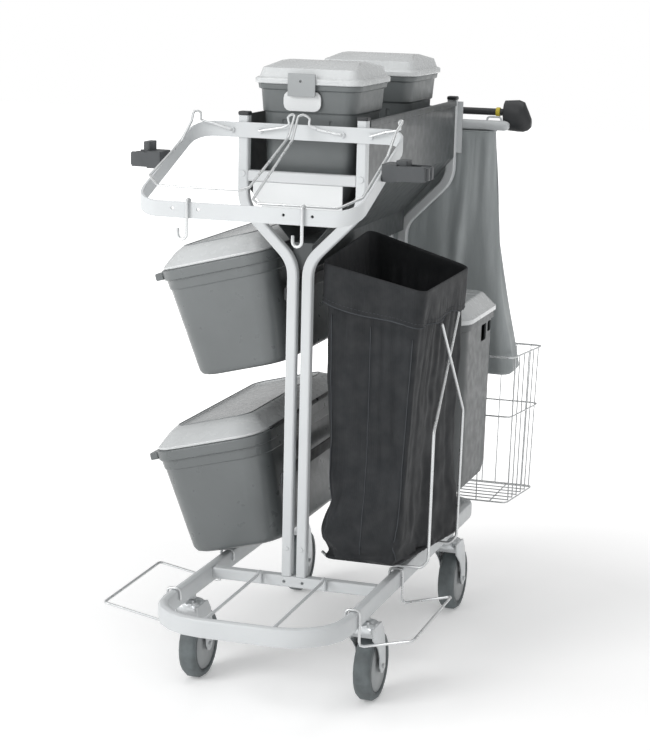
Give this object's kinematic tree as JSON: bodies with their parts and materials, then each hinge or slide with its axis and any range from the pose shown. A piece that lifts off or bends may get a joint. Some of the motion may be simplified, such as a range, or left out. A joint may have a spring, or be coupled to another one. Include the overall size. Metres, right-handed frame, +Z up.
{
  "type": "housekeeping cart",
  "caption": "Housekeeping cart: steel tube base on swivel casters, forked posts, V tray with lidded buckets, tilted storage boxes, laundry bag, sack ring, lidded bin, rear sack and wire basket.",
  "frame": {"origin": "on the floor, on the cart's centre line, in the plane of the front faces of the front posts", "axes": "+Z up, +X to the cart's right seen from its front, +Y from the front ring towards the rear"},
  "size_m": [0.569, 1.0598, 1.087],
  "materials": {
    "painted_frame": "satin light grey paint",
    "white_frame": "satin white paint",
    "zinc_plate": "zinc plated pressed steel",
    "zinc_wire": "zinc plated wire",
    "tyre_rubber": "matt dark grey rubber",
    "wheel_hub": "grey moulded wheel disc",
    "black_plastic": "matt black moulding",
    "grey_box": "mid grey moulded plastic",
    "grey_bucket": "dark grey moulded plastic",
    "clear_lid": "frosted translucent plastic",
    "light_plastic": "light grey plastic",
    "smoked_tray": "smoked translucent plastic",
    "clip_plastic": "dark grey plastic",
    "bag_cloth": "charcoal woven bag cloth",
    "sack_film": "thin grey sack material",
    "light_tube": "light grey tube"
  },
  "bodies": {
    "cart": {"bag_stand": "zinc_wire", "base_frame": "painted_frame", "box_hanger_lower": "painted_frame", "box_hanger_upper": "painted_frame", "front_crossbar": "painted_frame", "handle_knob": "black_plastic", "handle_rod": "black_plastic", "laundry_bag": "bag_cloth", "post_cap_front_left": "black_plastic", "post_cap_front_right": "black_plastic", "post_cap_rear_left": "black_plastic", "post_cap_rear_right": "black_plastic", "post_front_left": "painted_frame", "post_front_right": "painted_frame", "post_rear_left": "painted_frame", "post_rear_right": "painted_frame", "rear_crossbar": "painted_frame", "rear_sack": "sack_film", "rear_sack_tube": "light_tube", "ring_hook_left": "zinc_wire", "ring_hook_right": "zinc_wire", "sack_ring": "painted_frame", "shelf_rod_left": "zinc_wire", "shelf_rod_right": "zinc_wire", "side_loop_left": "zinc_wire", "side_loop_right": "zinc_wire", "tool_clip_left": "clip_plastic", "tool_clip_right": "clip_plastic", "tray": "smoked_tray", "tray_end_panel": "light_plastic", "upper_crossbar_front": "white_frame", "upper_crossbar_rear": "white_frame", "wire_basket": "zinc_wire"},
    "caster_front_left": {"caster_fork_front_left": "zinc_plate"},
    "wheel_front_left": {"caster_tyre_front_left": "tyre_rubber", "caster_hub_front_left": "wheel_hub"},
    "caster_front_right": {"caster_fork_front_right": "zinc_plate"},
    "wheel_front_right": {"caster_tyre_front_right": "tyre_rubber", "caster_hub_front_right": "wheel_hub"},
    "caster_rear_left": {"caster_fork_rear_left": "zinc_plate"},
    "wheel_rear_left": {"caster_tyre_rear_left": "tyre_rubber", "caster_hub_rear_left": "wheel_hub"},
    "caster_rear_right": {"caster_fork_rear_right": "zinc_plate"},
    "wheel_rear_right": {"caster_tyre_rear_right": "tyre_rubber", "caster_hub_rear_right": "wheel_hub"},
    "bucket_front": {"bucket_front_body": "grey_bucket", "bucket_front_shield": "light_plastic"},
    "bucket_front_lid": {"bucket_front_lid": "clear_lid"},
    "bucket_front_latch": {"bucket_front_latch": "light_plastic"},
    "bucket_rear": {"bucket_rear_body": "grey_bucket"},
    "bucket_rear_lid": {"bucket_rear_lid": "clear_lid"},
    "bucket_rear_latch": {"bucket_rear_latch": "light_plastic"},
    "box_upper": {"box_upper_body": "grey_box"},
    "box_upper_lid": {"box_upper_lid": "clear_lid"},
    "box_lower": {"box_lower_body": "grey_box"},
    "box_lower_lid": {"box_lower_lid": "clear_lid"},
    "tall_bin": {"tall_bin_body": "grey_box"},
    "tall_bin_lid": {"tall_bin_lid": "clear_lid"},
    "clamp_left": {"clamp_wire_left": "zinc_wire"},
    "clamp_right": {"clamp_wire_right": "zinc_wire"}
  },
  "joints": [
    {"name": "swivel_front_left", "type": "hinge", "parent": "cart", "child": "caster_front_left", "pos_m": [-0.1605, -0.08, 0.13], "axis": [0, 0, 1], "continuous": true},
    {"name": "roll_front_left", "type": "hinge", "parent": "caster_front_left", "child": "wheel_front_left", "pos_m": [-0.1605, -0.043, 0.0625], "axis": [1, 0, 0], "continuous": true},
    {"name": "swivel_front_right", "type": "hinge", "parent": "cart", "child": "caster_front_right", "pos_m": [0.1605, -0.08, 0.13], "axis": [0, 0, 1], "continuous": true},
    {"name": "roll_front_right", "type": "hinge", "parent": "caster_front_right", "child": "wheel_front_right", "pos_m": [0.1605, -0.043, 0.0625], "axis": [1, 0, 0], "continuous": true},
    {"name": "swivel_rear_left", "type": "hinge", "parent": "cart", "child": "caster_rear_left", "pos_m": [-0.1605, 0.474, 0.13], "axis": [0, 0, 1], "continuous": true},
    {"name": "roll_rear_left", "type": "hinge", "parent": "caster_rear_left", "child": "wheel_rear_left", "pos_m": [-0.1605, 0.511, 0.0625], "axis": [1, 0, 0], "continuous": true},
    {"name": "swivel_rear_right", "type": "hinge", "parent": "cart", "child": "caster_rear_right", "pos_m": [0.1605, 0.474, 0.13], "axis": [0, 0, 1], "continuous": true},
    {"name": "roll_rear_right", "type": "hinge", "parent": "caster_rear_right", "child": "wheel_rear_right", "pos_m": [0.1605, 0.511, 0.0625], "axis": [1, 0, 0], "continuous": true},
    {"name": "bucket_front_lift", "type": "slide", "parent": "cart", "child": "bucket_front", "axis": [0, 0, 1], "range_m": [0, 0.15]},
    {"name": "bucket_front_lid_hinge", "type": "hinge", "parent": "bucket_front", "child": "bucket_front_lid", "pos_m": [0, 0.211, 1.051], "axis": [-1, 0, 0], "range_deg": [0, 100]},
    {"name": "bucket_front_latch_hinge", "type": "hinge", "parent": "bucket_front_lid", "child": "bucket_front_latch", "pos_m": [0, 0.0124, 1.068], "axis": [-1, 0, 0], "range_deg": [0, 85]},
    {"name": "bucket_rear_lift", "type": "slide", "parent": "cart", "child": "bucket_rear", "axis": [0, 0, 1], "range_m": [0, 0.15]},
    {"name": "bucket_rear_lid_hinge", "type": "hinge", "parent": "bucket_rear", "child": "bucket_rear_lid", "pos_m": [0, 0.546, 1.051], "axis": [-1, 0, 0], "range_deg": [0, 100]},
    {"name": "bucket_rear_latch_hinge", "type": "hinge", "parent": "bucket_rear_lid", "child": "bucket_rear_latch", "pos_m": [0, 0.3474, 1.068], "axis": [-1, 0, 0], "range_deg": [0, 85]},
    {"name": "box_upper_unhook", "type": "slide", "parent": "cart", "child": "box_upper", "axis": [-1, 0, 0], "range_m": [0, 0.12]},
    {"name": "box_upper_lid_hinge", "type": "hinge", "parent": "box_upper", "child": "box_upper_lid", "pos_m": [-0.06692, 0.292, 0.76504], "axis": [0, 1, 0], "range_deg": [0, 60]},
    {"name": "box_lower_unhook", "type": "slide", "parent": "cart", "child": "box_lower", "axis": [-1, 0, 0], "range_m": [0, 0.12]},
    {"name": "box_lower_lid_hinge", "type": "hinge", "parent": "box_lower", "child": "box_lower_lid", "pos_m": [-0.07492, 0.292, 0.43554], "axis": [0, 1, 0], "range_deg": [0, 32]},
    {"name": "tall_bin_unhook", "type": "slide", "parent": "cart", "child": "tall_bin", "axis": [1, 0, 0], "range_m": [0, 0.2]},
    {"name": "tall_bin_lid_hinge", "type": "hinge", "parent": "tall_bin", "child": "tall_bin_lid", "pos_m": [0.0335, 0.435, 0.603], "axis": [0, -1, 0], "range_deg": [0, 70]},
    {"name": "clamp_left_hinge", "type": "hinge", "parent": "cart", "child": "clamp_left", "pos_m": [0, -0.0115, 0.972], "axis": [-1, 0, 0], "range_deg": [0, 20]},
    {"name": "clamp_right_hinge", "type": "hinge", "parent": "cart", "child": "clamp_right", "pos_m": [0, -0.0115, 0.972], "axis": [-1, 0, 0], "range_deg": [0, 14]}
  ]
}
